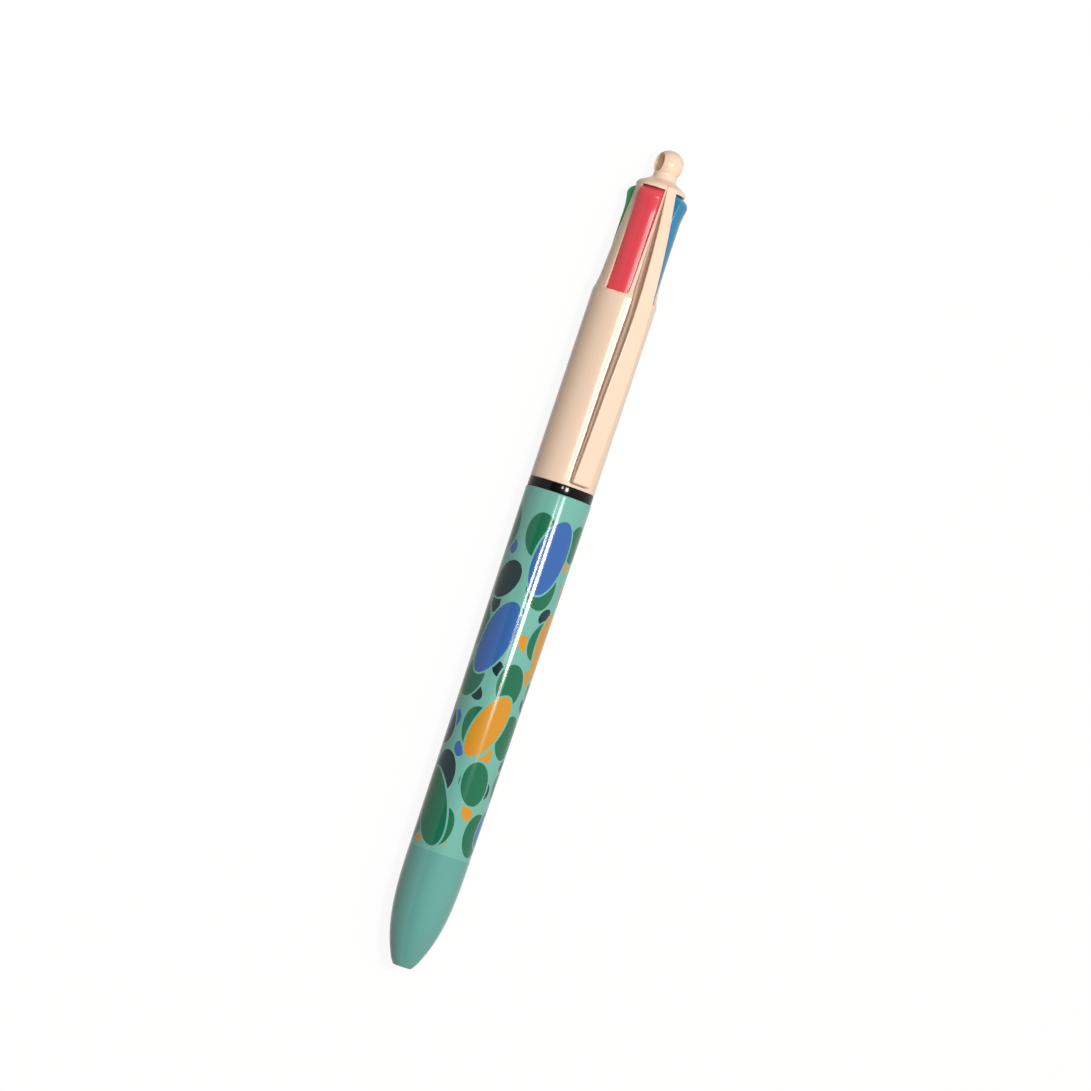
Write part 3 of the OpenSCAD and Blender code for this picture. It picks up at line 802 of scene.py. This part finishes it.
def makeSlider(name, colour):
    p = slider
    bottom, top = springTop + p["collarThick"] / 2, sliderTop - p["tuck"]
    ridgeLow = ridgeTop - p["ridgeLength"]
    heights = spread(bottom, ridgeLow, 6)
    heights += [h for h in spread(ridgeLow, ridgeTop, 9)[1:] if h < ridgeTop - p["round"] - 0.05]
    heights += spread(ridgeTop - p["round"], ridgeTop + p["round"], 9)
    heights += [h for h in spread(ridgeTop, sliderTop, 13) if p["round"] < h - ridgeTop < p["topEnd"]]
    heights += [top - p["topEdge"]]
    bm = bmesh.new()
    lofted(bm, [sliderSection(h) for h in heights] + [sliderSection(top, p["topEdge"])])
    collarRadius, collarTop = springDiameter / 2, springTop + p["collarThick"]
    spun(bm, softened([
        (0, springTop, 0), (collarRadius, springTop, p["collarEdge"]),
        (collarRadius, collarTop, p["collarEdge"]), (0, collarTop, 0),
    ]), p["collarSteps"], refillOut)
    stubLow, stubTop = springTop - p["stub"], springTop + p["stubSunk"]
    spun(bm, softened([
        (0, stubLow, 0), (p["stubRadius"], stubLow, p["stubEdge"]), (p["stubRadius"], stubTop, 0), (0, stubTop, 0),
    ]), p["stubSteps"], refillOut)
    finishPiece(
        bm, name + "SliderButton", name + "_slider_body", name + "_slider", colour["sliderMaterial"],
        colour["turn"],
    )


spring = {"wire": 0.3, "turns": 9, "closedRise": 0.315, "sides": 8, "stepsPerTurn": 24}


def makeSpring(name, colour):
    p = spring
    wireRadius = p["wire"] / 2
    section = []
    for i in range(p["sides"]):
        a = 2 * math.pi * i / p["sides"]
        out = springDiameter / 2 - wireRadius + wireRadius * math.cos(a)
        section.append((out, 0, springBottom + wireRadius * (1 + math.sin(a))))
    # One closed turn at each end, the rest open
    openTurns = p["turns"] - 2
    openRise = (springTop - springBottom - p["wire"] - 2 * p["closedRise"]) / openTurns
    bm = bmesh.new()
    coiled(bm, section, [(1, p["closedRise"]), (openTurns, openRise), (1, p["closedRise"])], p["stepsPerTurn"])
    bmesh.ops.translate(bm, verts=bm.verts, vec=(refillOut, 0, 0))
    piece = finishPiece(
        bm, name + "ReturnSpring", "upper_body", name + "_spring", springSteel, colour["turn"],
    )
    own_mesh(piece)


point = {
    "radius": 1.05, "length": 10.0, "cone": 3.2, "coneRound": 0.3, "ballOut": 0.3, "bore": 0.24, "boreLow": 0.45,
    "rim": 0.5, "endRound": 0.08, "plug": 3.0, "plugRadius": 0.94, "plugRound": 0.03, "plugTaper": 0.1, "steps": 48,
    # (over the rim's radius, over the ball's seat, corner), then grooves as (over the radius, from the end)
    "tip": ((-0.08, 0.02, 0), (0, 0.06, 0.02), (0.03, 0.35, 0), (0.16, 0.75, 0.05)),
    "waist": ((0, -2.0), (-0.1, -1.9), (-0.1, -1.6), (0, -1.5)),
    "barb": ((0, 0.9), (-0.08, 1.1), (0, 1.3)), "grooveRound": 0.05,
}


def makePoint(name, colour):
    p = point
    base = pointHeight - p["ballOut"]
    end = base + p["length"]
    bm = bmesh.new()
    spun(bm, softened([
        (p["bore"], end + p["plug"], 0), (p["bore"], pointHeight + p["boreLow"], 0),
        *((p["rim"] + over, pointHeight + up, corner) for over, up, corner in p["tip"]),
        (p["radius"], base + p["cone"], p["coneRound"]),
        *((p["radius"] + over, end + up, p["grooveRound"]) for over, up in p["waist"]),
        (p["radius"], end, p["endRound"]), (p["plugRadius"], end, p["plugRound"]),
        *((p["plugRadius"] + over, end + up, p["grooveRound"]) for over, up in p["barb"]),
        (p["plugRadius"] - p["plugTaper"], end + p["plug"], p["plugTaper"]),
    ]), p["steps"], refillOut)
    finishPiece(
        bm, name + "BrassPoint", name + "_refill_body", name + "_point", brassPoint, colour["turn"],
    )


for name, colour in colours.items():
    makeSlider(name, colour)
    makeSpring(name, colour)
    makePoint(name, colour)
print("sliders, springs and points made")

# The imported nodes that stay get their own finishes
keeps = {"guide_core": naturalPlastic, "spring_seat": naturalPlastic}
for name, colour in colours.items():
    keeps[name + "_refill_tube"] = tubePlastic
    keeps[name + "_ink"] = colour["inkMaterial"]
    keeps[name + "_point_ball"] = carbideBall
for nodeName, material in keeps.items():
    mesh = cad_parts[nodeName].data
    mesh.materials.clear()
    mesh.materials.append(material)
print("packed nodes dressed")

studio = {
    "floorSize": 6.0, "floorSteps": 96, "floorColour": "#fbfbfb", "floorBounce": "#8c847c", "floorGlow": 0.92,
    # The floor's sweep up into a low wall, as (share of the size, height in metres)
    "sweep": ((0, 0), (0.35, 0), (0.42, 0.05), (0.48, 0.25), (0.5, 0.6), (0.5, 1.6)),
    "away": 0.8,  # metres from the pen
    "key": {"turn": 20, "back": 0.087, "along": 0.086, "across": 0.11, "power": 3.6},
    "strip": {"turn": 4, "back": 0.105, "along": 0.05, "across": 0.08, "power": 0.95},
    "lampColour": (1, 0.98, 0.95),
    # The air is brighter on the right and past the ball
    "airColour": "#fff8f2", "airMiddle": 0.38, "airSwing": 0.6, "airTurn": 32,
}


def whiteGround(name):
    # White to the eye and in reflections, plain matt paper to the light that it scatters
    material, tree = newMaterial(name)
    rays = add(tree, "ShaderNodeLightPath")
    seen = rays.outputs["Is Camera Ray"]
    for ray in ("Is Glossy Ray", "Is Transmission Ray"):
        seen = add(tree, "ShaderNodeMath", {0: seen, 1: rays.outputs[ray]}, operation="MAXIMUM").outputs[0]
    share = add(tree, "ShaderNodeMath", {0: seen, 1: studio["floorGlow"]}, operation="MULTIPLY")
    tone = add(tree, "ShaderNodeMix", {
        0: rays.outputs["Is Camera Ray"], 6: linear(studio["floorBounce"]), 7: linear(studio["floorColour"]),
    }, data_type="RGBA")
    paper = add(tree, "ShaderNodeBsdfDiffuse", {"Color": tone.outputs[2]})
    glow = add(tree, "ShaderNodeEmission", {"Color": (1, 1, 1, 1), "Strength": 1.0})
    mix = add(tree, "ShaderNodeMixShader", {
        0: share.outputs[0], 1: paper.outputs["BSDF"], 2: glow.outputs["Emission"],
    })
    add(tree, "ShaderNodeOutputMaterial", {"Surface": mix.outputs["Shader"]})
    return material


def makeFloor():
    p = studio
    bm = bmesh.new()
    verts = [bm.verts.new((p["floorSize"] * share, 0, up)) for share, up in p["sweep"]]
    edges = [bm.edges.new(pair) for pair in zip(verts, verts[1:])]
    bmesh.ops.spin(
        bm, geom=verts + edges, cent=(0, 0, 0), axis=(0, 0, 1), angle=2 * math.pi, steps=p["floorSteps"],
        use_merge=True,
    )
    bmesh.ops.remove_doubles(bm, verts=bm.verts, dist=1e-5)
    bmesh.ops.recalc_face_normals(bm, faces=bm.faces)
    mesh = bpy.data.meshes.new("studioFloor")
    bm.to_mesh(mesh)
    bm.free()
    mesh.materials.append(whiteGround("whitePaper"))
    floor = bpy.data.objects.new("studioFloor", mesh)
    bpy.context.scene.collection.objects.link(floor)


def makeLamp(name, flat, right):
    p = studio[name]
    turn = math.radians(p["turn"])
    direction = flat * math.cos(turn) + right * math.sin(turn)
    data = bpy.data.lights.new(name, "AREA")
    data.shape = "RECTANGLE"
    data.size, data.size_y = p["along"], p["across"]
    data.energy = p["power"]
    data.color = studio["lampColour"]
    lamp = bpy.data.objects.new(name, data)
    axes = Matrix(((1, 0, 0), direction.cross(Vector((1, 0, 0))), direction)).transposed().to_4x4()
    lamp.matrix_world = Matrix.Translation(penMiddle + toBall * p["back"] + direction * studio["away"]) @ axes
    bpy.context.scene.collection.objects.link(lamp)


def lightRoom(right):
    p = studio
    world = bpy.data.worlds.new("roomAir")
    world.use_nodes = True
    tree = world.node_tree
    tree.nodes.clear()
    way = add(tree, "ShaderNodeTexCoord").outputs["Generated"]
    turn = math.radians(p["airTurn"])
    brightest = right * math.cos(turn) + toBall * math.sin(turn)
    side = add(tree, "ShaderNodeVectorMath", {0: way, 1: tuple(brightest)}, operation="DOT_PRODUCT")
    strength = add(tree, "ShaderNodeMath", {
        0: side.outputs["Value"], 1: p["airSwing"], 2: p["airMiddle"],
    }, operation="MULTIPLY_ADD", use_clamp=True)
    air = add(tree, "ShaderNodeBackground", {"Color": linear(p["airColour"]), "Strength": strength.outputs[0]})
    add(tree, "ShaderNodeOutputWorld", {"Surface": air.outputs["Background"]})
    bpy.context.scene.world = world


def lightStudio():
    # A lamp overhead gives the shade, a narrow one beside it the long highlight
    flat = Vector((0, toCamera.y, toCamera.z)).normalized()
    right = Vector((0, flat.z, -flat.y))
    makeLamp("key", flat, right)
    makeLamp("strip", flat, right)
    lightRoom(right)


makeFloor()
lightStudio()
bpy.context.scene.view_settings.view_transform = "Standard"
print("studio lit")
